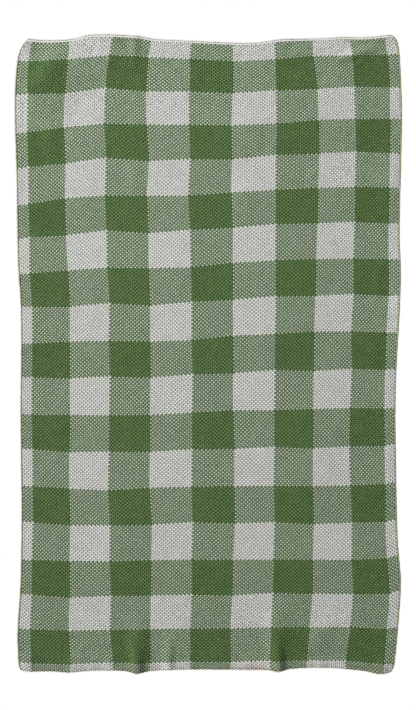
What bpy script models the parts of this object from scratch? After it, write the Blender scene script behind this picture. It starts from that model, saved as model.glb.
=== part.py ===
"""Tea towel of two-colour double knit, laid out flat on a surface.

Units are metres, +Z up. X runs across the towel and +Y towards its top end.
The origin is on the surface, under the towel's middle. The cloth is one sheet:
its underside follows the edges and folds in the tables below, and Solidify
gives it the knit's thickness. It lies flat on a straight-sided middle, and its
rim, which a knit's yarn curls, stands a little off the surface all round.
"""

import math
from collections import namedtuple

import bmesh
import bpy

MM = 0.001

WIDTH = 457.2 * MM  # between the selvedges, 18 in
LENGTH = 762.0 * MM  # from the bound-off edge to the cast-on edge, 30 in
THICKNESS = 2.5 * MM  # both faces of the knit

# Spacing of the sheet's lines of faces.
PLAIN_ACROSS = 12 * MM
PLAIN_ALONG = 16 * MM
RIPPLE_STEP = 2.6 * MM  # across the flutes of the bound-off edge
RIM_STEP = 6 * MM  # near the four edges
HEM_REACH = 62 * MM  # the fluted end
HEM_STEP = 8 * MM

# The rim: its unevenness fades out over RIM_REACH from the edge, and its
# underside rises evenly over the same distance, to RIM_RISE at the edge.
RIM_REACH = 36 * MM
RIM_RISE = 0.8 * MM

KNIT_COLOUR = (0.19, 0.235, 0.16, 1.0)  # green and cream stitches together
KNIT_ROUGHNESS = 0.92

# Brings the middle of the uneven towel's box over the origin.
SHIFT_X = 0.26 * MM
SHIFT_Y = -0.75 * MM

# An edge is a straight line between its corners, and each row says how far the
# real edge lies outside that line. Both columns are in millimetres.
EdgePoint = namedtuple("EdgePoint", "along out")

# Selvedges, from the bound-off end up.
LEFT_EDGE = (
    EdgePoint(0, -3.0),
    EdgePoint(6, -0.6),
    EdgePoint(18, 0.4),
    EdgePoint(48, 1.4),
    EdgePoint(110, -2.2),
    EdgePoint(190, -3.6),
    EdgePoint(300, -2.4),
    EdgePoint(430, -2.9),
    EdgePoint(500, 0.8),
    EdgePoint(600, 2.4),
    EdgePoint(686, 4.7),
    EdgePoint(729, 2.4),
    EdgePoint(745, -0.6),
    EdgePoint(755, -6.0),
    EdgePoint(762, -12.0),
)
RIGHT_EDGE = (
    EdgePoint(0, -10.0),
    EdgePoint(5, -6.6),
    EdgePoint(20, -4.0),
    EdgePoint(60, 0.0),
    EdgePoint(108, 2.7),
    EdgePoint(160, -1.0),
    EdgePoint(230, -2.8),
    EdgePoint(327, -3.5),
    EdgePoint(423, 1.3),
    EdgePoint(471, 2.6),
    EdgePoint(510, 1.2),
    EdgePoint(600, 3.0),
    EdgePoint(663, 4.1),
    EdgePoint(735, 1.4),
    EdgePoint(749, -0.6),
    EdgePoint(757, -3.6),
    EdgePoint(762, -8.6),
)
# Ends, from the left selvedge across.
TOP_EDGE = (
    EdgePoint(0, -0.2),
    EdgePoint(41, -2.6),
    EdgePoint(68, -0.6),
    EdgePoint(88, 4.3),
    EdgePoint(146, 2.3),
    EdgePoint(163, -1.0),
    EdgePoint(200, -2.8),
    EdgePoint(264, -5.8),
    EdgePoint(290, -5.2),
    EdgePoint(316, -1.4),
    EdgePoint(362, -0.5),
    EdgePoint(391, 1.2),
    EdgePoint(415, 0.8),
    EdgePoint(457, 4.6),
)
HEM_EDGE = (
    EdgePoint(0, -2.8),
    EdgePoint(12, -0.3),
    EdgePoint(41, -0.4),
    EdgePoint(60, 1.0),
    EdgePoint(89, -1.1),
    EdgePoint(127, -0.9),
    EdgePoint(141, 1.7),
    EdgePoint(157, -0.5),
    EdgePoint(194, -2.5),
    EdgePoint(300, -1.9),
    EdgePoint(310, -0.5),
    EdgePoint(328, -3.5),
    EdgePoint(370, -4.7),
    EdgePoint(415, -0.8),
    EdgePoint(434, 3.0),
    EdgePoint(447, 0.4),
    EdgePoint(457, -4.0),
)

# A fold is a rounded ridge under which the cloth stands off the surface. x and
# y are its crest's middle, from the towel's middle, and turn is how far the
# crest leans from +Y, to the left, in degrees. It fades out over half_width to
# each side and over half_length to each end. Sizes are in millimetres.
Fold = namedtuple("Fold", "name x y turn half_width half_length height")

FOLDS = (
    Fold("left flute of the hem", -85, -384, 4, 12, 62, 6.0),
    Fold("left ripple beside it", -47, -384, 0, 8, 42, 2.0),
    Fold("right flute of the hem", 84, -382, 5, 12, 62, 5.6),
    Fold("ripple at the left corner", -190, -384, -6, 15, 30, 1.6),
    Fold("ripple at the right corner", 212, -380, 14, 17, 34, 2.2),
    Fold("lifted stretch of the top edge", -112, 388, 0, 40, 26, 3.0),
    Fold("lifted top left corner", -214, 378, -30, 20, 22, 2.4),
    Fold("lifted top right corner", 214, 384, 30, 26, 22, 2.4),
    Fold("pucker by the top right corner", 184, 353, -62, 6, 15, 1.2),
    Fold("swell in the upper left", -150, 215, 12, 48, 84, 1.5),
    Fold("swell in the upper middle", 36, 268, -20, 52, 70, 1.2),
    Fold("swell at the right selvedge", 222, 210, 0, 26, 88, 2.0),
    Fold("swell in the lower right", 128, -128, 10, 46, 96, 1.5),
    Fold("swell at the left selvedge", -226, -60, 0, 24, 92, 1.6),
    Fold("swell in the lower left", -104, -222, -14, 40, 76, 1.3),
)


def clear_scene():
    for item in list(bpy.data.objects):
        bpy.data.objects.remove(item, do_unlink=True)


def read_edge(edge, along):
    """How far out a smooth curve through the edge's points runs, both in mm."""
    last = len(edge) - 1
    along = min(max(along, edge[0].along), edge[last].along)
    i = 0
    while i < last - 1 and along > edge[i + 1].along:
        i += 1

    def slope(k):
        a = edge[max(k - 1, 0)]
        b = edge[min(k + 1, last)]
        return (b.out - a.out) / (b.along - a.along)

    start, end = edge[i], edge[i + 1]
    span = end.along - start.along
    t = (along - start.along) / span
    fall = 1 - t
    return (
        fall * fall * (1 + 2 * t) * start.out
        + t * t * (1 + 2 * fall) * end.out
        + fall * fall * t * span * slope(i)
        - t * t * fall * span * slope(i + 1)
    )


def bump(offset, reach):
    """A rounded hump of height 1 that reaches 0, level, at the given offset."""
    if abs(offset) >= reach:
        return 0.0
    return 0.5 + 0.5 * math.cos(math.pi * offset / reach)


def lift(x, y):
    """Height of the cloth's underside over the surface, in metres."""
    height = 0.0
    for fold in FOLDS:
        turn = math.radians(fold.turn)
        dx = x / MM - fold.x
        dy = y / MM - fold.y
        sideways = dx * math.cos(turn) + dy * math.sin(turn)
        lengthways = dy * math.cos(turn) - dx * math.sin(turn)
        height += (
            fold.height
            * MM
            * bump(sideways, fold.half_width)
            * bump(lengthways, fold.half_length)
        )
    return height


def rim(from_edge):
    """1 on an edge, falling evenly to 0 at the rim's inner line."""
    return max(0.0, 1 - from_edge / RIM_REACH)


def place(across, along):
    """The underside's point at a distance from the left selvedge and the hem."""
    left, right = rim(across), rim(WIDTH - across)
    hem, top = rim(along), rim(LENGTH - along)
    x = across - WIDTH / 2
    x -= read_edge(LEFT_EDGE, along / MM) * MM * left
    x += read_edge(RIGHT_EDGE, along / MM) * MM * right
    from_left = (x + WIDTH / 2) / MM
    y = along - LENGTH / 2
    y -= read_edge(HEM_EDGE, from_left) * MM * hem
    y += read_edge(TOP_EDGE, from_left) * MM * top
    curl = RIM_RISE * max(left, right, hem, top)
    return (x + SHIFT_X, y + SHIFT_Y, max(curl, lift(x, y)))


def stations(total, step_at):
    """Places from 0 to total, spaced as step_at says, with both rims' lines."""
    places = [0.0]
    for stop in (RIM_REACH, total - RIM_REACH, total):
        start = places[-1]
        span = [start]
        while span[-1] < stop:
            span.append(span[-1] + step_at(span[-1]))
        stretch = (stop - start) / (span[-1] - start)
        places += [start + (value - start) * stretch for value in span[1:]]
    return places


def step_across(at):
    if min(at, WIDTH - at) < RIM_REACH:
        return RIM_STEP
    x = (at - WIDTH / 2) / MM
    for fold in FOLDS:
        narrow = fold.half_width < 15 and abs(fold.turn) < 10
        if narrow and abs(x - fold.x) < fold.half_width:
            return RIPPLE_STEP
    return PLAIN_ACROSS


def step_along(at):
    if min(at, LENGTH - at) < RIM_REACH:
        return RIM_STEP
    if at < HEM_REACH:
        return HEM_STEP
    return PLAIN_ALONG


def knit_material():
    material = bpy.data.materials.new("gingham_knit")
    material.use_nodes = True
    shader = material.node_tree.nodes["Principled BSDF"]
    shader.inputs["Base Color"].default_value = KNIT_COLOUR
    shader.inputs["Roughness"].default_value = KNIT_ROUGHNESS
    shader.inputs["Metallic"].default_value = 0.0
    return material


def tea_towel():
    """The sheet's underside as one grid of faces, thickened upwards."""
    columns = stations(WIDTH, step_across)
    rows = stations(LENGTH, step_along)
    sheet = bmesh.new()
    points = [[sheet.verts.new(place(u, v)) for u in columns] for v in rows]
    for lower, upper in zip(points, points[1:]):
        for i in range(len(columns) - 1):
            sheet.faces.new((lower[i], lower[i + 1], upper[i + 1], upper[i]))
    mesh = bpy.data.meshes.new("tea_towel")
    sheet.to_mesh(mesh)
    sheet.free()
    mesh.shade_smooth()
    mesh.materials.append(knit_material())

    towel = bpy.data.objects.new("tea_towel", mesh)
    bpy.context.scene.collection.objects.link(towel)
    knit = towel.modifiers.new("knit_thickness", "SOLIDIFY")
    knit.thickness = THICKNESS
    knit.offset = 1.0  # upwards, so the underside keeps its place
    return towel


def main():
    clear_scene()
    tea_towel()


main()
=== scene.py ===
"""Tea towel in green and cream gingham, knitted in one piece and laid out flat.

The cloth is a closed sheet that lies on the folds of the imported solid. The knit
on its face is made stitch by stitch: Geometry Nodes set a loop of yarn at each
place of a flat chart, counted in wales (columns of stitches) and courses (rows
of them, from the lower edge up), and carry it onto the face of the cloth.

Lengths are in metres, except in the tables, which are in millimetres.
"""

import logging
import math
from collections.abc import Callable, Iterable, Sequence
from dataclasses import dataclass
from enum import Enum
from typing import Any, NamedTuple

import bpy
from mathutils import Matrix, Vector


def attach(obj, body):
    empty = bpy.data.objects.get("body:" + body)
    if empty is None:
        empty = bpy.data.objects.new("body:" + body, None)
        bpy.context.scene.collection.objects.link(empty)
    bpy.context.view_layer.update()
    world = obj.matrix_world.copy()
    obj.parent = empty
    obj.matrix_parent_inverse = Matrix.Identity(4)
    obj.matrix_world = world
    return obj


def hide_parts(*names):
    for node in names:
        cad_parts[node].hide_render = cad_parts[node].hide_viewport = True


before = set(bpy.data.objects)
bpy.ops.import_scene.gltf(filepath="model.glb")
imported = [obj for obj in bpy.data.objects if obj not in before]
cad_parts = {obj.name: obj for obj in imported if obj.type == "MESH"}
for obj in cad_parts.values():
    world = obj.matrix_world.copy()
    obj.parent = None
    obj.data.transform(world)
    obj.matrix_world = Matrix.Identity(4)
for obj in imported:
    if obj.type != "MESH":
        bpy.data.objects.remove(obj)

LOG = logging.getLogger("tea_towel")
MM = 0.001
BODY = "root"
NODE = "tea_towel"
CHART_UV = "chart"
GRAIN_UV = "grain"
TONE = "tone"
MIXED_CHECK = "mixed_check_tint"

Colour = tuple[float, float, float, float]
Point = tuple[float, float, float]


def dye(*card: int) -> Colour:
    """A colour as a dyer's card gives it, turned to light values.

    Args:
        *card: Its red, green and blue, each from 0 to 255.

    Returns:
        The linear colour with full alpha.
    """

    def linear(value: int) -> float:
        """One channel as a share of white light."""
        share = value / 255
        return share / 12.92 if share <= 0.04045 else ((share + 0.055) / 1.055) ** 2.4

    return (*map(linear, card), 1.0)


# --- The chart: which yarn shows at each stitch. ---


class Yarn(Enum):
    """The two cotton yarns of the towel."""

    GREEN = 0
    ECRU = 1


@dataclass(frozen=True)
class Chart:
    """The gingham as a knitter counts it.

    Green and cream stripes of `check` stitches cross. Where two green stripes
    cross, all stitches are green; where two cream ones do, all are cream; and
    elsewhere the yarns take turns, stitch by stitch and row by row.
    """

    wales: int = 192
    courses: int = 358
    check: int = 20
    side_band: int = 6  # wales outside the first column line and the last
    end_band: int = 6  # courses below the lowest row line
    cast_on: int = 2  # cream courses at the top edge

    @property
    def column_lines(self) -> list[int]:
        """The wales at which the columns of checks meet, with both edges."""
        last = self.wales - self.side_band
        return [0, *range(self.side_band, last + 1, self.check), self.wales]

    @property
    def top_line(self) -> int:
        """The course of the highest row line."""
        rows = (self.courses - self.end_band) // self.check
        return self.end_band + rows * self.check


CHART = Chart()
UV_MARGIN = 2.0  # stitches round the chart, so that every place has a UV within 0 to 1
UV_WALES = CHART.wales + 2 * UV_MARGIN
UV_COURSES = CHART.courses + 2 * UV_MARGIN


def chart_uv(wale: Any, course: Any) -> tuple[Any, Any]:
    """The UV of a place of the chart, given as two numbers or two Values."""
    return (wale + UV_MARGIN) / UV_WALES, (course + UV_MARGIN) / UV_COURSES


# --- How the towel lies: its edges, its check lines and its folds. ---

# Each pair is a place along the edge, from its left or lower end, and how far
# outside its straight line the edge lies there.
LEFT_EDGE = (
    (0, -3.0), (6, -0.6), (18, 0.4), (48, 1.4), (110, -2.2), (190, -3.6), (300, -2.4), (430, -2.9),
    (500, 0.8), (600, 2.4), (686, 4.7), (729, 2.4), (745, -0.6), (755, -6.0), (762, -12.0),
)
RIGHT_EDGE = (
    (0, -10.0), (5, -6.6), (20, -4.0), (60, 0.0), (108, 2.7), (160, -1.0), (230, -2.8), (327, -3.5),
    (423, 1.3), (471, 2.6), (510, 1.2), (600, 3.0), (663, 4.1), (735, 1.4), (749, -0.6),
    (757, -3.6), (762, -8.6),
)
TOP_EDGE = (
    (0, -0.2), (41, -2.6), (68, -0.6), (88, 4.3), (146, 2.3), (163, -1.0), (200, -2.8), (264, -5.8),
    (290, -5.2), (316, -1.4), (362, -0.5), (391, 1.2), (415, 0.8), (457, 4.6),
)
HEM_EDGE = (
    (0, -2.8), (12, -0.3), (41, -0.4), (60, 1.0), (89, -1.1), (127, -0.9), (141, 1.7), (157, -0.5),
    (194, -2.5), (300, -1.9), (310, -0.5), (328, -3.5), (370, -4.7), (415, -0.8), (434, 3.0),
    (447, 0.4), (457, -4.0),
)

# Each row is a course, and how far to the right of its even place each column
# line is pushed there, from the leftmost line on.
SIDEWAYS = (
    (6, 2.0, 1.5, 5.0, 1.5, 2.0, 3.0, 2.0, -1.0, -2.0, -4.0),
    (26, 1.0, -0.5, 1.5, 2.0, 2.5, 3.0, 4.0, 2.5, 3.5, 0.0),
    (46, 2.5, 0.5, 2.5, 2.5, 4.0, 5.0, 6.0, 6.0, 7.0, 3.0),
    (66, 3.0, 0.5, 1.0, 3.0, 4.0, 6.0, 7.0, 6.5, 5.5, 0.0),
    (86, 4.0, 1.0, 1.0, 3.5, 5.0, 8.0, 8.0, 7.5, 5.5, -2.0),
    (106, 4.0, 0.0, -1.0, 1.0, 4.0, 7.5, 7.5, 6.5, 4.0, -2.0),
    (126, 3.5, 0.0, 0.0, 1.5, 4.5, 7.5, 8.0, 6.5, 2.5, -3.0),
    (146, 3.0, 1.0, 0.5, 1.5, 4.5, 6.0, 8.0, 7.0, 3.5, -3.0),
    (166, 3.0, 0.5, 1.0, 2.0, 5.0, 6.0, 8.5, 7.5, 5.5, -2.0),
    (186, 3.5, 0.5, 0.0, 2.0, 4.0, 6.0, 9.0, 8.0, 5.0, -0.5),
    (206, 3.0, 0.5, 0.5, 1.5, 4.0, 5.5, 9.5, 9.5, 7.5, 2.0),
    (226, 0.5, -1.5, -2.0, 0.0, 3.0, 5.5, 9.5, 10.5, 7.5, 2.0),
    (246, 0.0, -4.0, -3.0, -0.5, 2.0, 5.5, 9.5, 12.0, 9.0, 2.0),
    (266, -1.0, -5.0, -4.5, -2.0, 0.0, 4.0, 9.5, 13.0, 9.5, 3.0),
    (286, -1.5, -4.5, -3.5, 0.0, 2.0, 4.5, 10.0, 14.0, 10.5, 3.5),
    (306, -2.5, -6.5, -5.5, -2.5, 1.0, 4.0, 10.5, 13.5, 9.5, 4.0),
    (326, -2.5, -5.0, -4.0, -3.0, 1.0, 5.5, 10.0, 12.0, 8.5, 3.5),
    (336, -2.5, -3.0, -2.5, -2.0, 2.0, 6.0, 9.5, 9.5, 7.5, 2.5),
    (346, -1.0, -1.5, 0.5, -0.5, 2.0, 6.0, 9.5, 7.0, 6.5, 1.0),
    (352, 1.0, 0.0, 2.5, 2.0, 2.5, 6.0, 8.5, 6.5, 4.5, -1.5),
    (358, 2.5, 0.0, 4.5, 3.5, 3.0, 6.0, 8.5, 6.0, 3.0, -2.5),
)
# Likewise, how far upwards the course is pushed: at the left selvedge, at each
# column line and at the right selvedge.
LENGTHWAYS = (
    (6, -0.5, -1.5, -2.5, -0.5, -1.0, 0.5, 0.0, 2.0, 2.0, 1.5, -2.0, -3.0),
    (26, -2.5, -3.5, -5.0, -4.5, -3.0, -3.0, -2.5, -1.0, -1.0, -1.0, -3.0, -0.5),
    (46, -4.0, -4.5, -8.0, -6.0, -5.5, -4.5, -5.5, -2.5, -3.5, -4.0, -3.5, 1.5),
    (66, -5.0, -6.0, -7.0, -7.5, -6.0, -5.5, -5.5, -5.5, -5.5, -6.0, -3.5, 0.5),
    (86, -2.5, -3.0, -7.0, -7.0, -6.0, -3.0, -4.5, -3.0, -5.5, -3.5, -2.5, 0.5),
    (106, -2.5, -3.0, -5.5, -8.0, -4.5, -3.5, -2.5, -2.5, -2.5, -2.0, 0.0, 2.5),
    (126, -0.5, -1.0, -4.5, -4.0, -4.0, -1.0, -0.5, 2.0, 0.0, 2.5, 3.0, 5.5),
    (146, -1.5, -2.5, -2.5, -3.5, -2.5, 0.0, 3.0, 3.0, 4.5, 5.5, 5.0, 6.0),
    (166, -0.5, 0.0, -1.5, 1.0, -0.5, 3.5, 4.5, 9.0, 7.5, 10.0, 9.0, 10.0),
    (186, -3.0, -2.5, 0.0, 0.5, 0.0, 1.5, 7.0, 9.0, 12.0, 12.0, 11.0, 11.0),
    (206, -1.5, -1.0, -1.0, 3.5, 0.5, 5.0, 7.5, 12.0, 12.0, 14.5, 12.0, 12.5),
    (226, -5.0, -4.0, 0.0, 3.0, 2.5, 3.5, 9.0, 12.0, 13.5, 14.0, 13.5, 13.0),
    (246, -6.0, -3.0, -0.5, 5.5, 2.0, 6.0, 8.5, 13.0, 14.0, 15.5, 13.5, 13.5),
    (266, -8.0, -6.0, 1.0, 4.0, 4.0, 4.0, 8.0, 11.0, 13.5, 14.5, 14.0, 13.5),
    (286, -6.5, -4.0, 0.0, 7.0, 3.0, 5.5, 5.0, 10.5, 12.0, 14.5, 12.5, 11.5),
    (306, -7.0, -5.5, 0.5, 5.0, 4.0, 3.5, 3.0, 5.0, 9.5, 10.5, 11.0, 11.0),
    (326, -3.5, -2.0, -1.5, 5.5, 1.0, 1.0, -1.0, 2.5, 4.0, 7.0, 6.0, 5.5),
    (346, -4.5, -6.0, -3.5, 1.5, -0.5, -3.0, -5.5, -3.5, 1.0, 1.0, 2.5, 3.5),
)


class Fold(NamedTuple):
    """A rounded ridge in the cloth, or a trough where its height is below 0.

    x and y are its crest's middle, and turn is how far the crest leans from +Y,
    to the left, in degrees. It fades out over half_width to each side and over
    half_length to each end.
    """

    x: float
    y: float
    turn: float
    half_width: float
    half_length: float
    height: float


# Ridges under which the cloth stands off the surface.
FOLDS = (
    Fold(-85, -384, 4, 12, 62, 6.0),  # left flute of the hem
    Fold(-47, -384, 0, 8, 42, 2.0),  # left ripple beside it
    Fold(84, -382, 5, 12, 62, 5.6),  # right flute of the hem
    Fold(-190, -384, -6, 15, 30, 1.6),  # ripple at the left corner
    Fold(212, -380, 14, 17, 34, 2.2),  # ripple at the right corner
    Fold(-112, 388, 0, 40, 26, 3.0),  # lifted stretch of the top edge
    Fold(-214, 378, -30, 20, 22, 2.4),  # lifted top left corner
    Fold(214, 384, 30, 26, 22, 2.4),  # lifted top right corner
    Fold(184, 353, -62, 6, 15, 1.2),  # pucker by the top right corner
    Fold(-150, 215, 12, 48, 84, 1.5),  # swell in the upper left
    Fold(36, 268, -20, 52, 70, 1.2),  # swell in the upper middle
    Fold(222, 210, 0, 26, 88, 2.0),  # swell at the right selvedge
    Fold(128, -128, 10, 46, 96, 1.5),  # swell in the lower right
    Fold(-226, -60, 0, 24, 92, 1.6),  # swell at the left selvedge
    Fold(-104, -222, -14, 40, 76, 1.3),  # swell in the lower left
)

# Soft ridges and troughs in the knit's face. Each is where the photo shows the
# knit catch the light or turn from it.
CREASES = tuple(Fold(*row) for row in (
    # top left
    (-195, 339, -30, 20, 50, 2.4), (-176, 330, -30, 38, 62, 2.6), (-188, 256, 8, 15, 28, 1.8),
    (-88, 372, 0, 9, 36, 2.6), (-138, 366, -15, 6, 14, -0.9), (-221, 291, 0, 6, 50, -0.7),
    (-221, 204, 0, 6, 36, -0.6), (-160, 289, 0, 5, 6, -0.6), (-88, 219, 0, 15, 32, 1.2),
    (-62, 337, 35, 7, 10, -0.5),
    # top right
    (178, 361, -72, 8, 36, 2.6), (39, 356, -40, 6, 8, -0.8), (100, 368, -55, 6, 16, -0.7),
    (136, 332, 0, 7, 10, -0.6), (117, 222, 0, 8, 20, -0.9), (68, 252, 0, 9, 24, -0.8),
    (14, 222, 0, 8, 12, -0.6), (182, 302, 0, 7, 12, 0.6), (224, 273, 0, 8, 14, -0.7),
    (172, 264, 0, 7, 12, -0.6),
    # middle
    (43, 184, 0, 20, 32, 1.6), (231, 72, 0, 16, 70, 2.4), (203, 90, 0, 10, 26, 1.1),
    (148, 84, 0, 10, 20, -0.7), (-154, 66, 0, 12, 16, -0.7), (-200, -3, 90, 7, 26, -0.7),
    (199, 3, 0, 10, 22, 1.2), (136, 3, 0, 12, 22, -0.7), (-38, -84, 0, 15, 24, 1.1),
    (57, -76, 0, 10, 14, -0.7), (85, -138, 0, 9, 14, -0.9), (153, -92, 20, 13, 28, 1.1),
    (62, -180, 0, 10, 14, -0.7), (-220, -198, 0, 6, 150, -0.5),
    # the fluted end
    (-83, -354, 4, 19, 58, 3.8), (-85.5, -378, 4, 7, 40, 1.2), (82, -350, 5, 22, 60, 4.6),
    (84.5, -376, 5, 7, 40, 1.2), (-47.5, -362, 0, 10, 38, 3.2), (-119.5, -371, 0, 8, 20, 1.6),
    (-165, -375, 0, 10, 22, 1.6), (-216, -370, 0, 11, 18, 1.5), (-221, -354, 0, 5, 14, -0.7),
    (47.5, -375, 0, 9, 18, 1.4), (132, -340, -35, 16, 40, 1.4), (134, -370, 0, 9, 20, 1.4),
    (194, -375, 0, 10, 12, -0.9), (207, -373, 0, 9, 20, 1.4),
))


def read_curve(rows: Sequence[tuple[float, float]], at: float) -> float:
    """Reads a smooth curve through the rows of a table.

    Args:
        rows: Pairs of a place and the value there, in order.
        at: The place to read, kept between the first and the last.

    Returns:
        The curve's value there.
    """
    last = len(rows) - 1
    at = min(max(at, rows[0][0]), rows[last][0])
    i = 0
    while i < last - 1 and at > rows[i + 1][0]:
        i += 1

    def slope(k: int) -> float:
        """The curve's slope at row k."""
        (a, low), (b, high) = rows[max(k - 1, 0)], rows[min(k + 1, last)]
        return (high - low) / (b - a)

    (a, start), (b, end) = rows[i], rows[i + 1]
    span = b - a
    t = (at - a) / span
    fall = 1 - t
    return (
        fall * fall * (1 + 2 * t) * start
        + t * t * (1 + 2 * fall) * end
        + fall * fall * t * span * slope(i)
        - t * t * fall * span * slope(i + 1)
    )


def read_table(table: Sequence[Sequence[float]], course: float) -> list[float]:
    """Reads a smooth curve through each column of a table.

    Args:
        table: Rows of a course and the values there.
        course: The course to read.

    Returns:
        The values there, one for each column but the first.
    """
    columns = range(1, len(table[0]))
    return [read_curve([(row[0], row[k]) for row in table], course) for k in columns]


def bump(offset: float, reach: float) -> float:
    """A rounded hump of height 1 that reaches 0, level, at the given offset."""
    return 0.5 + 0.5 * math.cos(math.pi * offset / reach) if abs(offset) < reach else 0.0


def lift(folds: Iterable[Fold], x: float, y: float) -> float:
    """How much folds raise the cloth at a place.

    Args:
        folds: The folds.
        x: Place across the towel, from its middle.
        y: Place along it, from its middle.

    Returns:
        The height that they add there, below 0 in a trough.
    """
    past_corners = 1.5  # times the two half sizes: no fold reaches so far along x plus y
    height = 0.0
    for fold in folds:
        dx = x / MM - fold.x
        dy = y / MM - fold.y
        if abs(dx) + abs(dy) > past_corners * (fold.half_width + fold.half_length):
            continue
        turn = math.radians(fold.turn)
        sideways = dx * math.cos(turn) + dy * math.sin(turn)
        lengthways = dy * math.cos(turn) - dx * math.sin(turn)
        rise = bump(sideways, fold.half_width) * bump(lengthways, fold.half_length)
        height += fold.height * MM * rise
    return height


@dataclass(frozen=True)
class Lie:
    """The towel's lie: where each place of the chart is, and how high."""

    width: float = 457.2 * MM
    length: float = 762.0 * MM
    shift_x: float = 0.26 * MM
    shift_y: float = -0.75 * MM
    rim_reach: float = 36 * MM  # over which the rim's underside rises
    rim_rise: float = 0.8 * MM
    ground: float = 1.6 * MM  # thickness under the stitches
    deepest: float = 0.8 * MM  # that a trough goes into the face
    inset: float = 0.5 * MM  # room at the edges for the stitches' own thickness
    round_off: float = 0.9  # wales or courses over which an edge is rounded
    side_line: float = -214.3 * MM  # the first column line, if the knit were even
    check_width: float = 47.62 * MM
    low_line: float = -369.2 * MM  # the lowest row line, likewise
    course_height: float = 2.135 * MM

    def edge_out(self, edge: Sequence[tuple[float, float]], along: float) -> float:
        """How far out an edge lies, with the inset taken off."""
        return read_curve(edge, along / MM) * MM - self.inset

    def column_places(self, course: float) -> list[float]:
        """Where the columns of checks meet.

        Args:
            course: The course at which to look.

        Returns:
            x of the left edge, of each column line and of the right edge.
        """
        along = self.length * course / CHART.courses
        left = -self.width / 2 - self.edge_out(LEFT_EDGE, along) + self.shift_x
        right = self.width / 2 + self.edge_out(RIGHT_EDGE, along) + self.shift_x
        lines = [
            self.side_line + k * self.check_width + off * MM
            for k, off in enumerate(read_table(SIDEWAYS, course))
        ]
        return [left, *lines, right]

    def row_places(self, course: float) -> list[float]:
        """How high a course runs, as if the pattern ran on past both ends.

        Args:
            course: The course.

        Returns:
            y at the same places.
        """
        held = min(max(course, CHART.end_band), CHART.top_line)
        even = self.low_line + (held - CHART.end_band) * self.course_height
        return [even + off * MM for off in read_table(LENGTHWAYS, held)]

    def ends(self, x: float) -> tuple[float, float]:
        """Where the towel ends at a place across it.

        Args:
            x: The place.

        Returns:
            y of the lower edge and of the top edge.
        """
        from_left = x - self.shift_x + self.width / 2
        low = -self.length / 2 - self.edge_out(HEM_EDGE, from_left) + self.shift_y
        high = self.length / 2 + self.edge_out(TOP_EDGE, from_left) + self.shift_y
        return low, high

    def row(self, course: float, wales: Iterable[float]) -> list[tuple[float, float]]:
        """Places of one course of the chart.

        Args:
            course: The course, from 0 at the lower edge.
            wales: The wales to place, from 0 at the left selvedge.

        Returns:
            x and y of each.
        """
        at = CHART.column_lines
        across, up = self.column_places(course), self.row_places(course)
        places = []
        for wale in wales:
            k = max(i for i in range(len(at) - 1) if i == 0 or at[i] <= wale)
            t = (wale - at[k]) / (at[k + 1] - at[k])
            x = across[k] + (across[k + 1] - across[k]) * t
            y = up[k] + (up[k + 1] - up[k]) * t
            low, high = self.ends(x)
            if course < CHART.end_band:
                y = low + (y - low) * course / CHART.end_band
            elif course > CHART.top_line:
                past = (course - CHART.top_line) / (CHART.courses - CHART.top_line)
                y += (high - y) * past
            places.append((x, y))
        return places

    def heights(
        self, x: float, y: float, wale: float, course: float
    ) -> tuple[float, float]:
        """Heights of the underside and of the ground's face at a place.

        The underside lies on its folds, and a little up at the rim. A ridge
        raises both; a trough goes into the face as deep as the knit allows.

        Args:
            x: The place across.
            y: The place along.
            wale: The same place in wales.
            course: And in courses.

        Returns:
            The two heights over the surface.
        """
        across = self.width * wale / CHART.wales
        along = self.length * course / CHART.courses
        near = min(across, self.width - across, along, self.length - along)
        curl = self.rim_rise * max(0.0, 1 - near / self.rim_reach)
        place = (x - self.shift_x, y - self.shift_y)
        low = max(curl, lift(FOLDS, *place))
        crease = max(lift(CREASES, *place), -self.deepest - low)
        return max(0.0, low + crease), low + crease + self.ground

    def rounded(self, inside: float) -> tuple[float, float]:
        """Takes a place near an edge round the edge's half-round section.

        Args:
            inside: Stitches from the edge, below 0 past it on the way under.

        Returns:
            Stitches from the edge as seen from above, and how far down the face
            has turned, as a share of half the thickness.
        """
        if inside >= self.round_off:
            return inside, 0.0
        turn = (1 - inside / self.round_off) * math.pi / 2
        return self.round_off * (1 - math.sin(turn)), 1 - math.cos(turn)


LIE = Lie()


def stations(total: int, step: float, rim: Sequence[float]) -> list[float]:
    """Places for a sheet's lines of faces, closer together at the edges.

    Args:
        total: Stitches from edge to edge.
        step: Stitches between plain lines, about.
        rim: Stitches from the edge for the lines near it, in order.

    Returns:
        The lines' places, from one edge to the other.
    """
    start, end = rim[-1], total - rim[-1]
    count = max(1, round((end - start) / step))
    plain = [start + (end - start) * i / count for i in range(count + 1)]
    return [*rim[:-1], *plain, *(total - place for place in reversed(rim[:-1]))]


# --- Small classes that write node trees. ---

Settings = dict[str, Any]
Inputs = dict[int | str, Any]


def maths(operation: str) -> Callable[..., "Value"]:
    """Makes a method for Value that adds one Math node.

    Args:
        operation: The node's operation.

    Returns:
        The method, which takes the node's further values.
    """

    def apply(self: "Value", *others: Any) -> "Value":
        """The node's result."""
        inputs = dict(enumerate((self, *others)))
        return self.board.value("ShaderNodeMath", {"operation": operation}, inputs)

    return apply


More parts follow.
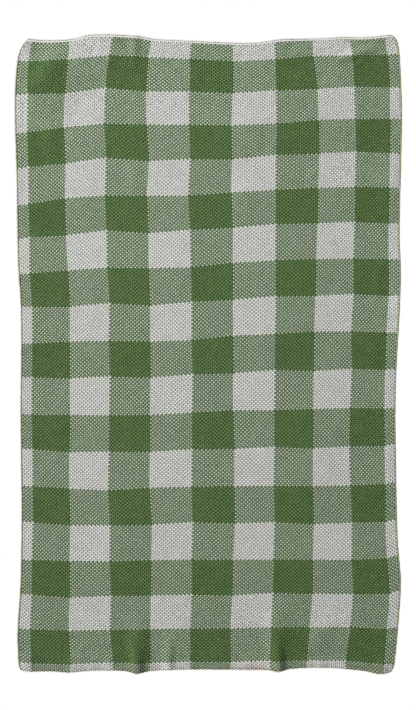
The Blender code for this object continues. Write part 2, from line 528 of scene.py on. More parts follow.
@dataclass(eq=False)
class Value:
    """An output in a node tree. Where it is a number, operators add Math nodes."""

    board: "Board"
    socket: bpy.types.NodeSocket

    __add__ = __radd__ = maths("ADD")
    __sub__ = maths("SUBTRACT")
    __mul__ = __rmul__ = maths("MULTIPLY")
    __truediv__ = maths("DIVIDE")
    __mod__ = maths("FLOORED_MODULO")  # never below 0
    __lt__ = maths("LESS_THAN")  # 1 where it is so, and 0 elsewhere
    __gt__ = maths("GREATER_THAN")
    floor = maths("FLOOR")
    abs = maths("ABSOLUTE")
    sine = maths("SINE")
    at_least = maths("MAXIMUM")
    at_most = maths("MINIMUM")

    def __rsub__(self, other: Any) -> "Value":
        """other - self."""
        return self * -1.0 + other

    def wave(self) -> "Value":
        """A smooth wave from 0 to 1, once for each step of 1."""
        return (self * math.tau).sine() * 0.5 + 0.5

    def clamp(self, low: float = 0.0, high: float = 1.0) -> "Value":
        """self, kept between two numbers."""
        return self.at_least(low).at_most(high)


@dataclass(eq=False)
class Board:
    """A node tree that is being laid out."""

    tree: bpy.types.NodeTree

    def node(
        self, kind: str, settings: Settings | None = None, inputs: Inputs | None = None
    ) -> bpy.types.Node:
        """Adds a node.

        Args:
            kind: The node's type.
            settings: Its own properties, which are set first.
            inputs: Numbers, Values or sockets for its inputs, by name or number.

        Returns:
            The node.
        """
        made = self.tree.nodes.new(kind)
        for name, setting in (settings or {}).items():
            setattr(made, name, setting)
        for key, given in (inputs or {}).items():
            source = given.socket if isinstance(given, Value) else given
            if isinstance(source, bpy.types.NodeSocket):
                self.tree.links.new(source, made.inputs[key])
            else:
                made.inputs[key].default_value = source
        return made

    def value(
        self,
        kind: str,
        settings: Settings | None = None,
        inputs: Inputs | None = None,
        output: int | str = 0,
    ) -> Value:
        """Adds a node and wraps one of its outputs.

        Args:
            kind: The node's type.
            settings: Its own properties.
            inputs: What goes to its inputs.
            output: The output, by name or number.

        Returns:
            That output.
        """
        return Value(self, self.node(kind, settings, inputs).outputs[output])

    def parts(self, vector: Any) -> list[Value]:
        """The three numbers of a vector."""
        split = self.node("ShaderNodeSeparateXYZ", inputs={0: vector})
        return [Value(self, number) for number in split.outputs]

    def vector(self, x: Any = 0.0, y: Any = 0.0, z: Any = 0.0) -> Value:
        """A vector of three numbers or Values."""
        return self.value("ShaderNodeCombineXYZ", inputs={0: x, 1: y, 2: z})

    def moved(self, start: Any, way: Any, times: Value) -> Value:
        """A vector, with another added so many times."""
        kind, inputs = "ShaderNodeVectorMath", {0: way, "Scale": times}
        added = self.value(kind, {"operation": "SCALE"}, inputs)
        return self.value(kind, {"operation": "ADD"}, {0: start, 1: added})


def read_chart(wale: Value, course: Value) -> tuple[Value, Value]:
    """The chart as a calculation.

    Args:
        wale: The stitch's wale, a whole number from 0.
        course: Its course, likewise.

    Returns:
        Two numbers that are 1 or 0: whether the stitch is green, and whether it
        is in a check where the yarns take turns.
    """
    parity = (wale + course) % 2.0
    column = ((wale - float(CHART.side_band)) / float(CHART.check)).floor() % 2.0
    row = ((course - float(CHART.end_band)) / float(CHART.check)).floor() % 2.0
    cream_stripes = column + row
    all_green = cream_stripes < 0.5
    mixed = (cream_stripes < 1.5) - all_green
    body = all_green + mixed * (1.0 - parity)
    return body * (course < CHART.courses - CHART.cast_on - 0.5), mixed


# --- Finishes. ---


class Paint(Board):
    """The node tree of a new material, round its one shader."""

    def __init__(self, name: str, constants: dict[str, float]) -> None:
        """Makes the material.

        Args:
            name: Its name.
            constants: The shader's inputs that don't vary.
        """
        self.material = bpy.data.materials.new(name)
        self.material.use_nodes = True
        super().__init__(self.material.node_tree)
        self.shader = self.tree.nodes["Principled BSDF"]
        for key, constant in constants.items():
            self.shader.inputs[key].default_value = constant

    def feed(self, key: str, given: Value) -> None:
        """Links a Value to one of the shader's inputs."""
        self.tree.links.new(given.socket, self.shader.inputs[key])

    def mix(self, share: Any, low: Any, high: Any, blend: str = "MIX") -> Value:
        """A blend of two colours.

        Args:
            share: How much of the second, from 0 to 1.
            low: The first colour.
            high: The second.
            blend: How the second is laid on the first.

        Returns:
            The blend.
        """
        settings = {"data_type": "RGBA", "blend_type": blend}
        inputs = {"Factor": share, 6: low, 7: high}
        return self.value("ShaderNodeMix", settings, inputs, output=2)

    def place(self) -> Value:
        """The place, in the object's own metres."""
        return self.value("ShaderNodeTexCoord", output="Object")

    def uv(self, name: str) -> list[Value]:
        """The two numbers of a UV map."""
        return self.parts(self.value("ShaderNodeUVMap", {"uv_map": name}))[:2]

    def attribute(self, name: str) -> Value:
        """A number that each stitch carries."""
        return self.value("ShaderNodeAttribute", {"attribute_name": name}, output="Fac")

    def noise(self, lumps: float) -> Value:
        """Soft noise, with so many lumps a metre."""
        inputs = {"Vector": self.place(), "Scale": lumps, "Detail": 2.0, "Roughness": 0.6}
        return self.value("ShaderNodeTexNoise", inputs=inputs)

    def relief(self, height: Value, strength: float, depth: float) -> None:
        """Lets a height bend the light.

        Args:
            height: The height, from 0 to 1.
            strength: How much of it shows.
            depth: What a height of 1 stands for, in metres.
        """
        inputs = {"Height": height, "Strength": strength, "Distance": depth}
        self.feed("Normal", self.value("ShaderNodeBump", inputs=inputs))


@dataclass(frozen=True)
class YarnFinish:
    """Soft, loosely twisted cotton yarn of one colour."""

    name: str
    lit: Colour  # at its palest
    deep: Colour  # at its darkest
    mixed_check_tint: Colour | None = None  # multiplies its colour in a mixed check: darker, and tinged towards the other yarn
    end_tint: Colour | None = None  # what the towel's ends are tinged with, in patches

    roughness: float = 0.62
    gloss: float = 0.25
    sheen: float = 0.03
    sheen_roughness: float = 0.5

    plies: float = 3.0  # turns of the twist along one strand
    ply_slant: float = 0.9  # turns by which it leans from side to side of the strand
    mottle_lumps: float = 55.0  # a metre, as of all lumps
    fibre_lumps: float = 5200.0
    paleness: float = 0.65  # share of the pale colour that every stitch has,
    by_tone: float = 0.3  # what a pale stitch has more of it than a dark one,
    by_mottle: float = 0.4  # and likewise a pale patch of the dyeing,
    ply_highlight: float = 0.25  # the crown of a ply, as painted highlight with painted shade between plies
    by_fibre: float = 0.35  # and a pale fibre
    ply_relief: float = 0.7
    fibre_relief: float = 0.3
    relief_strength: float = 0.5
    relief_depth: float = 0.12 * MM

    end_tint_from: float = 370 * MM  # from the towel's middle, along it
    end_tint_over: float = 6 * MM
    patch_lumps: float = 70.0
    patch_level: float = 0.47  # of the noise, where a patch begins
    patch_edge: float = 5.0  # how crisp its edge is

    def material(self) -> bpy.types.Material:
        """Builds the yarn's material.

        Returns:
            The material, or the one of its name that is there already.
        """
        found = bpy.data.materials.get(self.name)
        if found:
            return found
        constants = {
            "Roughness": self.roughness,
            "Specular IOR Level": self.gloss,
            "Sheen Weight": self.sheen,
            "Sheen Roughness": self.sheen_roughness,
        }
        paint = Paint(self.name, constants)
        side, along = paint.uv(GRAIN_UV)
        ply = (along * self.plies + side * self.ply_slant).wave()
        fibre = paint.noise(self.fibre_lumps)
        mottle = paint.noise(self.mottle_lumps)
        share = self.paleness + self.by_tone * paint.attribute(TONE)
        share = share + (mottle - 0.5) * self.by_mottle
        # The ply term paints highlight on each ply's crown and shade between the plies.
        share = share + (ply - 0.5) * self.ply_highlight + (fibre - 0.5) * self.by_fibre
        colour = paint.mix(share.clamp(), self.deep, self.lit)
        if self.mixed_check_tint:
            colour = paint.mix(paint.attribute(MIXED_CHECK), colour, self.mixed_check_tint, "MULTIPLY")
        if self.end_tint:
            colour = paint.mix(self.end_tint_share(paint), colour, self.end_tint)
        paint.feed("Base Color", colour)
        height = ply * self.ply_relief + fibre * self.fibre_relief
        paint.relief(height, self.relief_strength, self.relief_depth)
        return paint.material

    def end_tint_share(self, paint: Paint) -> Value:
        """How much of the end tint the yarn takes: in patches, at the towel's two ends.

        Args:
            paint: The yarn's node tree.

        Returns:
            The tint's share, from 0 to 1.
        """
        _, along, _ = paint.parts(paint.place())
        past = (along.abs() - self.end_tint_from) / self.end_tint_over
        patches = (paint.noise(self.patch_lumps) - self.patch_level) * self.patch_edge
        return past.clamp() * patches.clamp()


@dataclass(frozen=True)
class GroundFinish:
    """The knit's ground, seen between the stitches and on the underside. On the face its colours
    are painted far darker than the yarns, as shade in the gaps between the stitches.
    """

    name: str
    green: Colour
    cream: Colour
    backing: bool  # the underside's own face, where the yarns take turns all over

    roughness: float = 0.95
    gloss: float = 0.2
    mixed_green: float = 0.6  # how green the ground is in a mixed check
    leg_rise: float = 0.8  # courses in a wale, of the legs of the underside's stitches
    put_off: float = 0.25  # of a course, so that its wave is highest midway
    by_row: float = 0.6  # share of the underside's relief that its courses make,
    by_leg: float = 0.4  # and that the two legs of its stitches make
    shade: Colour = (0.02, 0.03, 0.02, 1.0)  # deep between the fibres
    shade_share: float = 0.5
    shade_lumps: float = 900.0
    relief_strength: float = 0.8
    relief_depth: float = 0.5 * MM

    def material(self) -> bpy.types.Material:
        """Builds the ground's material.

        Returns:
            The material.
        """
        constants = {"Roughness": self.roughness, "Specular IOR Level": self.gloss}
        paint = Paint(self.name, constants)
        across, up = paint.uv(CHART_UV)
        wale = across * UV_WALES - UV_MARGIN
        course = up * UV_COURSES - UV_MARGIN
        from_middle = (wale % 1.0 - 0.5).abs()
        leg = (from_middle * 2.0).wave()
        if self.backing:
            row = course - from_middle * self.leg_rise
            green = ((wale.floor() + row.floor()) % 2.0) < 0.5
            height = (row % 1.0 - self.put_off).wave() * self.by_row + leg * self.by_leg
        else:
            green, mixed = read_chart(wale.floor(), course.floor())
            green = (green + mixed * self.mixed_green).clamp()
            height = leg
        colour = paint.mix(green, self.cream, self.green)
        shade = (paint.noise(self.shade_lumps) * self.shade_share).clamp()
        paint.feed("Base Color", paint.mix(shade, colour, self.shade))
        paint.relief(height, self.relief_strength, self.relief_depth)
        return paint.material


FINISHES: dict[Yarn, YarnFinish] = {
    Yarn.GREEN: YarnFinish(
        "green_cotton",
        dye(120, 148, 93),
        dye(46, 83, 12),
        mixed_check_tint=(0.80, 0.79, 0.91, 1.0),
    ),
    Yarn.ECRU: YarnFinish(
        "ecru_cotton",
        dye(244, 245, 240),
        dye(190, 191, 186),
        mixed_check_tint=(0.79, 0.88, 0.75, 1.0),
        end_tint=dye(200, 181, 169),
    ),
}
# The cast-on band's cream yarn, painted darker than the ecru yarn: painted shade on the band.
SHADED_EDGE_ECRU = YarnFinish("cast_on_cotton", dye(194, 193, 189), dye(172, 170, 165))
# Taupe yarn of the cords along the top and lower rims: painted shade of the rolled edges.
RIM_SHADE_TAUPE = YarnFinish("edge_cotton", dye(202, 191, 181), dye(172, 159, 148))
EDGE_MARL = YarnFinish("selvedge_cotton", dye(140, 146, 118), dye(92, 100, 72))
# The face's ground is far darker than the yarns: painted shade in the gaps between the stitches.
SHADED_FACE_GROUND = GroundFinish("face_ground", dye(30, 55, 12), dye(138, 139, 134), False)
BACK_GROUND = GroundFinish("back_ground", dye(92, 118, 76), dye(196, 196, 190), True)


# --- The cloth. ---


def new_object(name: str, mesh: bpy.types.Mesh) -> bpy.types.Object:
    """Puts a mesh in the scene as an object at the origin."""
    made = bpy.data.objects.new(name, mesh)
    bpy.context.scene.collection.objects.link(made)
    return made


def new_mesh(
    name: str,
    points: Sequence[Point],
    faces: Sequence[tuple[int, ...]],
    uv_map: str,
    uvs: Sequence[tuple[float, float]],
) -> bpy.types.Mesh:
    """A smooth mesh with a UV map.

    Args:
        name: The mesh's name.
        points: Its points.
        faces: Its faces, as numbers of points.
        uv_map: The UV map's name.
        uvs: One UV for each point.

    Returns:
        The mesh.
    """
    mesh = bpy.data.meshes.new(name)
    mesh.from_pydata(points, [], faces)
    layer = mesh.uv_layers.new(name=uv_map)
    for loop in mesh.loops:
        layer.data[loop.index].uv = uvs[loop.vertex_index]
    mesh.shade_smooth()
    return mesh


@dataclass
class Sheet:
    """The ground of the knit: one closed sheet on the towel's folds."""

    step_across: float = 1.25  # wales
    step_along: float = 2.25  # courses
    rim: tuple[float, ...] = (0.0, 0.12, 0.3, 0.55, 0.9)
    wrap: tuple[float, ...] = (-0.5, -0.25)  # past the edge, for the guide alone

    def lines(self, rim: Sequence[float]) -> tuple[list[float], list[float]]:
        """The sheet's lines of faces, in wales and in courses."""
        across = stations(CHART.wales, self.step_across, rim)
        return across, stations(CHART.courses, self.step_along, rim)

    def points(
        self, wales: Sequence[float], courses: Sequence[float], under: bool
    ) -> list[Point]:
        """Points of one side of the sheet, course by course.

        Args:
            wales: The lines across.
            courses: The lines along.
            under: True for the underside, False for the face.

        Returns:
            The points.
        """
        made = []
        for course in courses:
            seen_up, down_up = self.turned(course, CHART.courses)
            seen = [self.turned(wale, CHART.wales) for wale in wales]
            places = LIE.row(seen_up, [across for across, _ in seen])
            for (x, y), (across, down) in zip(places, seen):
                low, high = LIE.heights(x, y, across, seen_up)
                half = (high - low) / 2
                drop = half * max(down, down_up)
                made.append((x, y, low + drop if under else high - drop))
        return made

    @staticmethod
    def turned(place: float, total: int) -> tuple[float, float]:
        """Takes a place of the chart round the nearer edge.

        Args:
            place: The wale or the course.
            total: How many there are.

        Returns:
            The place as seen from above, and how far down the face has turned.
        """
        if place < total / 2:
            return LIE.rounded(place)
        inside, down = LIE.rounded(total - place)
        return total - inside, down

    @staticmethod
    def faces(columns: int, rows: int) -> list[tuple[int, ...]]:
        """Faces of a grid of points.

        Args:
            columns: Points across.
            rows: Points along.

        Returns:
            The faces, pointing up.
        """
        made = []
        for j in range(rows - 1):
            for i in range(columns - 1):
                a = j * columns + i
                made.append((a, a + 1, a + columns + 1, a + columns))
        return made

    def guide(self) -> bpy.types.Object:
        """Builds the face alone, run on round the edges, to carry stitches onto.

        Returns:
            The guide, which isn't a piece of the towel.
        """
        wales, courses = self.lines((*self.wrap, *self.rim))
        points = self.points(wales, courses, under=False)
        uvs = [chart_uv(u, v) for v in courses for u in wales]
        faces = self.faces(len(wales), len(courses))
        return new_object("guide", new_mesh("guide", points, faces, CHART_UV, uvs))

    def cloth(self) -> bpy.types.Object:
        """Builds the closed sheet, whose two sides share their rim's points.

        Returns:
            The sheet.
        """
        wales, courses = self.lines(self.rim)
        columns, rows = len(wales), len(courses)
        face = self.faces(columns, rows)
        points = self.points(wales, courses, under=False)
        below = self.points(wales, courses, under=True)
        uvs = [chart_uv(u, v) for v in courses for u in wales]
        twin = list(range(len(points)))
        for j in range(1, rows - 1):
            for i in range(1, columns - 1):
                at = j * columns + i
                twin[at] = len(points)
                points.append(below[at])
                uvs.append(uvs[at])
        back = [tuple(twin[p] for p in reversed(quad)) for quad in face]
        mesh = new_mesh("towel_cloth", points, face + back, CHART_UV, uvs)
        mesh.materials.append(SHADED_FACE_GROUND.material())
        mesh.materials.append(BACK_GROUND.material())
        for polygon in mesh.polygons[len(face):]:
            polygon.material_index = 1
        return new_object("towel_cloth", mesh)


# --- The stitches. ---


class Grain(NamedTuple):
    """A strand of yarn that shows between its foot and its tip.

    Places are in wales and courses from the stitch's middle.
    """

    foot: tuple[float, float]
    tip: tuple[float, float]
    half_width: float
    top: float  # height of its crown
    base: float  # depth of its foot and tip in the ground


@dataclass(frozen=True)
class StitchShape:
    """A stitch of one or more strands, each a closed grain with its own UVs."""

    name: str
    strands: tuple[Grain, ...]

    def object(self) -> bpy.types.Object:
        """Builds the stitch, with a UV map that runs along each strand.

        Returns:
            The stitch.
        """
        points, faces, uvs = [], [], []
        for strand in self.strands:
            first = len(points)
            grain, sides, places = self.grain(strand)
            points += grain
            faces += [tuple(first + corner for corner in side) for side in sides]
            uvs += places
        mesh = new_mesh(self.name, points, faces, GRAIN_UV, uvs)
        self.crisp(mesh)
        return new_object(self.name, mesh)

    def grain(self, strand: Grain) -> tuple[list, list, list]:
        """One strand as a low grain of six triangles.

        Args:
            strand: The strand.

        Returns:
            Its points, its faces and the UV of each point.
        """
        foot, tip = Vector(strand.foot), Vector(strand.tip)
        middle = (foot + tip) / 2
        side = (tip - foot).orthogonal().normalized() * strand.half_width
        rim = (foot, middle - side, tip, middle + side)
        points = [(place.x, place.y, strand.base) for place in rim]
        points.append((middle.x, middle.y, strand.top))
        faces = [(0, 1, 4), (1, 2, 4), (2, 3, 4), (3, 0, 4), (0, 3, 2), (0, 2, 1)]
        return points, faces, [(0.5, 0.0), (1.0, 0.5), (0.5, 1.0), (0.0, 0.5), (0.5, 0.5)]

    def crisp(self, mesh: bpy.types.Mesh) -> None:
        """Keeps the edges round the strands' feet sharp, and their crowns soft.

        Args:
            mesh: The stitch's mesh. Only the feet are below its origin.
        """
        sharp = mesh.attributes.new("sharp_edge", "BOOLEAN", "EDGE")
        for edge in mesh.edges:
            at_foot = all(mesh.vertices[v].co.z < 0 for v in edge.vertices)
            sharp.data[edge.index].value = at_foot


@dataclass(frozen=True)
class LinkShape(StitchShape):
    """A stitch of the edges, whose strands are rounder."""

    rings: int = 3
    sides: int = 6
    fullness: float = 0.6  # below 1, a strand is thick almost to its ends

    def grain(self, strand: Grain) -> tuple[list, list, list]:
        """One strand as a round spindle.

        Args:
            strand: The strand.

        Returns:
            Its points, its faces and the UV of each point.
        """
        foot, tip = Vector(strand.foot), Vector(strand.tip)
        side = (tip - foot).orthogonal().normalized() * strand.half_width
        middle, half = (strand.top + strand.base) / 2, (strand.top - strand.base) / 2
        points, uvs = [(*foot, strand.base)], [(0.5, 0.0)]
        for k in range(1, self.rings + 1):
            t = k / (self.rings + 1)
            girth = math.sin(math.pi * t) ** self.fullness
            rise = strand.base + (middle - strand.base) * girth
            for n in range(self.sides):
                turn = math.tau * n / self.sides
                place = foot.lerp(tip, t) - side * math.cos(turn) * girth
                points.append((*place, rise + math.sin(turn) * half * girth))
                uvs.append((n / self.sides, t))
        points.append((*tip, strand.base))
        uvs.append((0.5, 1.0))
        last = len(points) - 1
        end = last - self.sides
        faces = []
        for n in range(self.sides):
            after = (n + 1) % self.sides
            faces.append((1 + after, 1 + n, 0))
            for a in range(1, end, self.sides):
                b = a + self.sides
                faces.append((a + after, b + after, b + n, a + n))
            faces.append((end + after, last, end + n))
        return points, faces, uvs

    def crisp(self, mesh: bpy.types.Mesh) -> None:
        """Leaves all edges soft."""


KNIT = StitchShape(
    "knit_stitch",
    (
        Grain((-0.52, -0.70), (0.38, 0.72), 0.27, 0.85 * MM, -0.15 * MM),
        Grain((0.50, -0.52), (0.34, 0.22), 0.17, 0.45 * MM, -0.15 * MM),
    ),
)


class LoopTree(Board):
    """Geometry Nodes that lay loops of yarn on the chart, and these on the cloth.

    Each kind of tree has its own name, inputs and way of laying its loops.
    """

    name: str = "loops"
    own_inputs: dict[str, str] = {}  # their kinds, by name
    seed: int = 7  # that all random numbers start from
    hold: float = 0.01  # wales or courses that the loops keep from the guide's end

    def __init__(self) -> None:
        """Builds the tree. `sockets` keeps its inputs' identifiers, by name."""
        super().__init__(bpy.data.node_groups.new(self.name, "GeometryNodeTree"))
        add = self.tree.interface.new_socket
        add(name="Geometry", in_out="OUTPUT", socket_type="NodeSocketGeometry")
        common = {"Guide": "Object", "Loop": "Object", "Material": "Material"}
        kinds = {**common, "Unevenness": "Float", **self.own_inputs}
        self.sockets = {
            name: add(name=name, in_out="INPUT", socket_type=f"NodeSocket{kind}").identifier
            for name, kind in kinds.items()
        }
        inlets = self.node("NodeGroupInput").outputs
        self.given = {name: Value(self, inlets[name]) for name in kinds}
        laid = self.onto_cloth(self.loops())
        smooth = self.value("GeometryNodeSetShadeSmooth", inputs={0: laid})
        inputs = {0: smooth, 2: self.given["Material"]}
        dressed = self.value("GeometryNodeSetMaterial", inputs=inputs)
        self.node("NodeGroupOutput", inputs={0: dressed})

    def loops(self) -> Value:
        """Lays the loops on the flat chart; each kind of tree has its own way.

        Returns:
            The loops, realized.
        """
        raise NotImplementedError

    def mark(self, geometry: Value, name: str, number: Value, domain: str) -> Value:
        """Gives geometry a number that its material reads.

        Args:
            geometry: The geometry.
            name: The number's name.
            number: The number.
            domain: What has one each: a point or an instance.

        Returns:
            The geometry with it.
        """
        settings = {"data_type": "FLOAT", "domain": domain}
        inputs = {0: geometry, 2: name, 3: number}
        return self.value("GeometryNodeStoreNamedAttribute", settings, inputs)

    def random(self, low: float, high: float, turn: int) -> Value:
        """A random number for each loop, the same ones in every run.

        Args:
            low: The lowest.
            high: The highest.
            turn: Which of the loop's numbers it is.

        Returns:
            The number.
        """
        inputs = {2: low, 3: high, "Seed": self.seed + turn}
        return self.value("FunctionNodeRandomValue", {"data_type": "FLOAT"}, inputs, output=1)

    def stray(self, turn: int, reach: float = 1.0) -> Value:
        """One of the ways in which a loop is unlike the next."""
        return self.random(-reach, reach, turn) * self.given["Unevenness"]

    def inner(self, name: str) -> Value:
        """The shape of an object that the group is given."""
        inputs = {0: self.given[name]}
        return self.value("GeometryNodeObjectInfo", inputs=inputs, output="Geometry")

    def set_down(
        self,
        points: Value,
        push: Value | float = 0.0,
        girth: Value | float = 1.0,
        tall: Value | float = 1.0,
        lean: Value | float = 0.0,
    ) -> Value:
        """Sets a loop on each point, each a little unlike the next.

        Args:
            points: The points.
            push: How far each loop is pushed across.
            girth: Its size on the chart.
            tall: Its height's size.
            lean: Its lean to the side, as an angle.

        Returns:
            The loops, realized, each with a tone of its own.
        """
        inputs = {0: points, 3: self.vector(push + self.stray(1), self.stray(2))}
        moved = self.value("GeometryNodeSetPosition", inputs=inputs)
        girth = girth + self.stray(3)
        size = self.vector(girth, girth, tall + self.stray(4, reach=1.5))
        angles = {0: self.vector(y=lean, z=self.stray(5))}
        turned = self.value("FunctionNodeEulerToRotation", inputs=angles)
        inputs = {0: moved, 2: self.inner("Loop"), 5: turned, 6: size}
        placed = self.value("GeometryNodeInstanceOnPoints", inputs=inputs)
        toned = self.mark(placed, TONE, self.random(0.0, 1.0, 6), "INSTANCE")
        return self.value("GeometryNodeRealizeInstances", inputs={0: toned})

    def onto_cloth(self, flat: Value) -> Value:
        """Carries flat geometry from the chart onto the cloth's face.

        Args:
            flat: Geometry in wales, courses and metres of height.

        Returns:
            The geometry on the cloth.
        """
        surface = self.inner("Guide")
        place = self.value("GeometryNodeInputPosition")
        wale, course, height = self.parts(place)
        low = Sheet.wrap[0] + self.hold
        wale = wale.clamp(low, CHART.wales - low)
        course = course.clamp(low, CHART.courses - low)
        uv = self.vector(*chart_uv(wale, course))
        kind = {"data_type": "FLOAT_VECTOR"}
        chart = self.value("GeometryNodeInputNamedAttribute", kind, {0: CHART_UV})
        on_surface, outward = (
            self.value(
                "GeometryNodeSampleUVSurface", kind, {0: surface, 1: wanted, 2: chart, 3: uv}
            )
            for wanted in (place, self.value("GeometryNodeInputNormal"))
        )
        inputs = {0: flat, 2: self.moved(on_surface, outward, height)}
        return self.value("GeometryNodeSetPosition", inputs=inputs)

    def piece(self, name: str, inputs: dict[str, Any]) -> bpy.types.Object:
        """Makes a plain mesh object from the tree.

        Args:
            name: The object's name.
            inputs: What goes to the tree's inputs, by name.

        Returns:
            The object, with no modifier left on it.
        """
        host = new_object(name, bpy.data.meshes.new(name))
        modifier = host.modifiers.new("nodes", "NODES")
        modifier.node_group = self.tree
        for key, given in inputs.items():
            modifier[self.sockets[key]] = given
        host.update_tag()
        bpy.context.view_layer.update()
        evaluated = host.evaluated_get(bpy.context.evaluated_depsgraph_get())
        mesh = bpy.data.meshes.new_from_object(evaluated)
        mesh.name = name
        host.modifiers.remove(modifier)
        host.data = mesh
        return host


class KnitTree(LoopTree):
    """The stitches of one yarn in some of the courses."""

    name: str = "knit_stitches"
    manners: tuple[str, ...] = ("Pairing", "Sinking", "Crowding", "Ridging", "Lean")
    own_inputs: dict[str, str] = {
        "Green": "Float",
        "First Course": "Int",
        "Courses": "Int",
        **dict.fromkeys(manners, "Float"),
    }
    sliver: float = 1e-5  # of a row, against rounding where a row begins

    def loops(self) -> Value:
        """Sets a stitch at each place of the chart.

        In the plain checks the yarn goes to the back of the knit after every
        second stitch, by turns from course to course. That draws the stitches
        together in pairs, leaves small holes between the pairs and raises every
        second stitch. In the mixed checks it is the green ones that stand
        higher, and they crowd the ecru ones.

        Returns:
            The stitches, realized, still on the flat chart.
        """
        points = self.chart_points()
        wale, course, _ = self.parts(self.value("GeometryNodeInputPosition"))
        wale, course = wale.floor(), course.floor()
        second = (wale + course) % 2.0
        side = 1.0 - second * 2.0
        _, mixed = read_chart(wale, course)
        plain = 1.0 - mixed
        pairing, sinking, crowding, ridging, lean = map(self.given.get, self.manners)
        return self.set_down(
            self.mark(points, MIXED_CHECK, mixed, "POINT"),
            push=pairing * side * plain,
            girth=1.0 + side * mixed * crowding,
            tall=1.0 - second * mixed * sinking + side * plain * ridging,
            lean=lean * side * plain * -1.0,
        )

    def chart_points(self) -> Value:
        """A point for each stitch of one yarn, apart from those of the selvedges.

        Returns:
            The points, at the stitches' middles.
        """
        index = self.value("GeometryNodeInputIndex")
        wale = index % float(CHART.wales)
        rows = (index / float(CHART.wales) + self.sliver).floor()
        course = rows + self.given["First Course"]
        count = self.given["Courses"] * float(CHART.wales)
        inputs = {0: count, 1: self.vector(wale + 0.5, course + 0.5)}
        made = self.value("GeometryNodePoints", inputs=inputs)
        green, _ = read_chart(wale, course)
        other_yarn = (green - self.given["Green"]).abs()
        middle = CHART.wales / 2
        selvedge = (wale + 0.5 - middle).abs() > middle - 1.0
        inputs = {0: made, 1: other_yarn + selvedge > 0.5}
        return self.value("GeometryNodeDeleteGeometry", {"domain": "POINT"}, inputs)


class EdgeTree(LoopTree):
    """A row of links along one edge of the towel."""

    name: str = "edge_links"
    own_inputs: dict[str, str] = {"Links": "Int", "Start": "Vector", "Step": "Vector"}

    def loops(self) -> Value:
        """Sets a link at each step along the edge.

        Returns:
            The links, realized, still on the flat chart.
        """
        index = self.value("GeometryNodeInputIndex")
        place = self.moved(self.given["Start"], self.given["Step"], index)
        inputs = {0: self.given["Links"], 1: place}
        return self.set_down(self.value("GeometryNodePoints", inputs=inputs))


@dataclass
class Knit:
    """All stitches of the face, in pieces of one yarn and a third of the length."""

    guide: bpy.types.Object
    pairing: float = 0.13  # wales that a stitch is drawn towards its pair
    sinking: float = 0.45  # share of its height that an ecru one in a mixed check loses
    crowding: float = 0.12  # by which the green ones there are wider and the ecru narrower
    ridging: float = 0.35  # by which a plain check's second stitches are higher or lower
    lean: float = 0.4 * MM  # how much higher a wale's paired side is than its other
    unevenness: float = 0.035
    parts: tuple[str, ...] = ("lower", "middle", "upper")

    def pieces(self) -> list[bpy.types.Object]:
        """Builds the pieces, lowest first.

        Returns:
            One object for each yarn and part.
        """
        stitch = KNIT.object()
        tree = KnitTree()
        made = []
        last = CHART.courses - CHART.cast_on
        each = math.ceil(last / len(self.parts))
        for yarn in Yarn:
            for k, part in enumerate(self.parts):
                first = k * each
                inputs = {
                    "Guide": self.guide,
                    "Loop": stitch,
                    "Material": FINISHES[yarn].material(),
                    "Unevenness": self.unevenness,
                    "Green": 1.0 if yarn is Yarn.GREEN else 0.0,
                    "First Course": first,
                    "Courses": min(each, last - first),
                }
                for manner in tree.manners:
                    inputs[manner] = getattr(self, manner.lower())
                made.append(tree.piece(f"stitches_{yarn.name.lower()}_{part}", inputs))
        bpy.data.objects.remove(stitch, do_unlink=True)
        return made


class EdgeRow(NamedTuple):
    """A row of links along an edge of the towel, placed in wales and courses."""

    name: str
    link: Grain
    start: tuple[float, float]
    step: tuple[float, float]
    links: int
    finish: YarnFinish


CAST_ON_BAND = Grain((-0.75, -0.28), (0.75, 0.28), 0.62, 0.75 * MM, -0.25 * MM)
RIM_CORD = Grain((-0.80, -0.06), (0.80, 0.06), 0.42, 0.50 * MM, -0.25 * MM)
BOUND_CORD = Grain((-0.70, 0.10), (0.70, -0.10), 0.34, 0.50 * MM, -0.25 * MM)
SELVEDGE = Grain((-0.10, -0.85), (0.10, 0.85), 0.48, 0.70 * MM, -0.25 * MM)


@dataclass
class Edges:
    """The cast-on edge at the top, the bound-off edge and the two selvedges.

    At the selvedges the two yarns turn back together.
    """

    guide: bpy.types.Object
    unevenness: float = 0.06
    cast_on_at: float = CHART.courses - 1.5
    rim_at: float = CHART.courses - 0.45
    bound_at: float = 0.40
    selvedge_at: float = 0.40

    def rows(self) -> list[EdgeRow]:
        """Lists the rows of links.

        Returns:
            The rows, those of the ends first.
        """
        wales, courses = CHART.wales, CHART.courses
        across, up = (1.0, 0.0), (0.0, 1.0)
        far = wales - self.selvedge_at
        band = (0.5, self.cast_on_at)
        rim, bound = (0.5, self.rim_at), (0.5, self.bound_at)
        left, right = (self.selvedge_at, 1.0), (far, 1.0)
        long = courses - CHART.cast_on - 1
        return [
            EdgeRow("cast_on_band", CAST_ON_BAND, band, across, wales, SHADED_EDGE_ECRU),
            EdgeRow("cast_on_cord", RIM_CORD, rim, across, wales, RIM_SHADE_TAUPE),
            EdgeRow("bound_off_cord", BOUND_CORD, bound, across, wales, RIM_SHADE_TAUPE),
            EdgeRow("left_selvedge", SELVEDGE, left, up, long, EDGE_MARL),
            EdgeRow("right_selvedge", SELVEDGE, right, up, long, EDGE_MARL),
        ]

    def pieces(self) -> list[bpy.types.Object]:
        """Builds one object for each row.

        Returns:
            The objects.
        """
        tree = EdgeTree()
        made = []
        for row in self.rows():
            link = LinkShape(f"{row.name}_link", (row.link,)).object()
            inputs = {
                "Guide": self.guide,
                "Loop": link,
                "Material": row.finish.material(),
                "Unevenness": self.unevenness,
                "Links": row.links,
                "Start": (*row.start, 0.0),
                "Step": (*row.step, 0.0),
            }
            made.append(tree.piece(row.name, inputs))
            bpy.data.objects.remove(link, do_unlink=True)
        return made


# --- The studio. ---


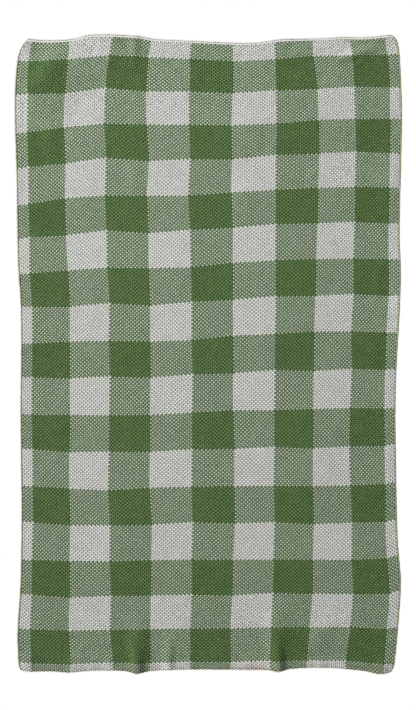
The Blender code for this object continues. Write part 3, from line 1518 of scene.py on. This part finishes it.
@dataclass(frozen=True)
class Studio:
    """A pale floor, a soft key light from the upper left, and the camera above."""

    frame_height: float = 852 * MM  # what the picture's long side takes in
    middle: tuple[float, float] = (-0.34 * MM, -0.99 * MM)
    lens_mm: float = 100.0
    sensor_mm: float = 36.0
    floor_drop: float = 0.3 * MM
    floor_size: float = 24.0
    floor_grey: float = 0.92  # as the light finds it
    knee: float = 0.7  # brightness up to which the picture is plain
    white: float = 2.0  # brightness that is white in it, and the floor's as seen
    key_strength: float = 5.2  # watts on a square metre that faces the lamp
    key_from: Point = (-0.62, 0.64, 0.62)
    key_distance: float = 3.8
    key_width: float = 0.53
    fill: float = 0.42

    def build(self) -> None:
        """Sets up the floor, the lights, the camera and the colour handling."""
        self.floor()
        self.lamp()
        self.room()
        self.camera()
        self.exposure()

    def floor(self) -> None:
        """Lays a plain pale floor just under the towel.

        The camera sees it as plain white, so no shadow shows on it.
        """
        half, z = self.floor_size / 2, -self.floor_drop
        corners = [(-half, -half, z), (half, -half, z), (half, half, z), (-half, half, z)]
        mesh = bpy.data.meshes.new("floor")
        mesh.from_pydata(corners, [], [(0, 1, 2, 3)])
        constants = {"Roughness": 1.0, "Specular IOR Level": 0.0}
        paint = Paint("floor_paint", constants | {"Emission Strength": self.white})
        seen = paint.value("ShaderNodeLightPath", output="Is Camera Ray")
        grey = (self.floor_grey, self.floor_grey, self.floor_grey, 1.0)
        black, white = (0.0, 0.0, 0.0, 1.0), (1.0, 1.0, 1.0, 1.0)
        paint.feed("Base Color", paint.mix(seen, grey, black))
        paint.feed("Emission Color", paint.mix(seen, black, white))
        mesh.materials.append(paint.material)
        new_object("floor", mesh)

    def lamp(self) -> None:
        """Hangs the key light, a soft round lamp at the upper left."""
        key = bpy.data.lights.new("key", "AREA")
        key.shape = "DISK"
        key.size = self.key_width
        key.energy = self.key_strength * math.pi * self.key_distance**2
        lamp = bpy.data.objects.new("key", key)
        towards = Vector(self.key_from).normalized()
        lamp.location = towards * self.key_distance
        lamp.rotation_mode = "QUATERNION"
        lamp.rotation_quaternion = towards.to_track_quat("Z", "Y")
        bpy.context.scene.collection.objects.link(lamp)

    def room(self) -> None:
        """Gives the room an even light from all sides."""
        world = bpy.data.worlds.new("room")
        world.use_nodes = True
        background = world.node_tree.nodes["Background"]
        background.inputs["Color"].default_value = (1.0, 1.0, 1.0, 1.0)
        background.inputs["Strength"].default_value = self.fill
        bpy.context.scene.world = world

    def camera(self) -> None:
        """Sets the camera straight above the towel."""
        lens = bpy.data.cameras.new("camera")
        lens.lens = self.lens_mm
        lens.sensor_width = self.sensor_mm
        camera = bpy.data.objects.new("camera", lens)
        height = self.frame_height * self.lens_mm / self.sensor_mm
        camera.location = (*self.middle, height)
        bpy.context.scene.collection.objects.link(camera)
        bpy.context.scene.camera = camera

    def exposure(self) -> None:
        """Keeps colours plain, with a soft shoulder for yarn that faces the lamp."""
        view = bpy.context.scene.view_settings
        view.view_transform = "Standard"
        view.use_curve_mapping = True
        mapping = view.curve_mapping
        mapping.white_level = (self.white, self.white, self.white)
        _, _, _, shoulder = mapping.curves
        shoulder.points.new(self.knee / self.white, self.knee)
        for point in shoulder.points:
            point.handle_type = "VECTOR"
        mapping.update()


def report(piece: bpy.types.Object) -> None:
    """Logs a piece's name and size in triangles."""
    piece.data.calc_loop_triangles()
    LOG.info("%s: %d triangles", piece.name, len(piece.data.loop_triangles))


def main() -> None:
    """Builds the towel and the studio, and logs each piece's size in triangles."""
    logging.basicConfig(level=logging.INFO, format="%(name)s: %(message)s")
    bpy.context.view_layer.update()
    sheet = Sheet()
    cloth = sheet.cloth()
    guide = sheet.guide()
    loops = Knit(guide).pieces() + Edges(guide).pieces()
    bpy.data.objects.remove(guide, do_unlink=True)
    for piece in (cloth, *loops):
        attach(piece, BODY)
        report(piece)
    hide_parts(NODE)
    Studio().build()


if __name__ == "__main__":
    main()
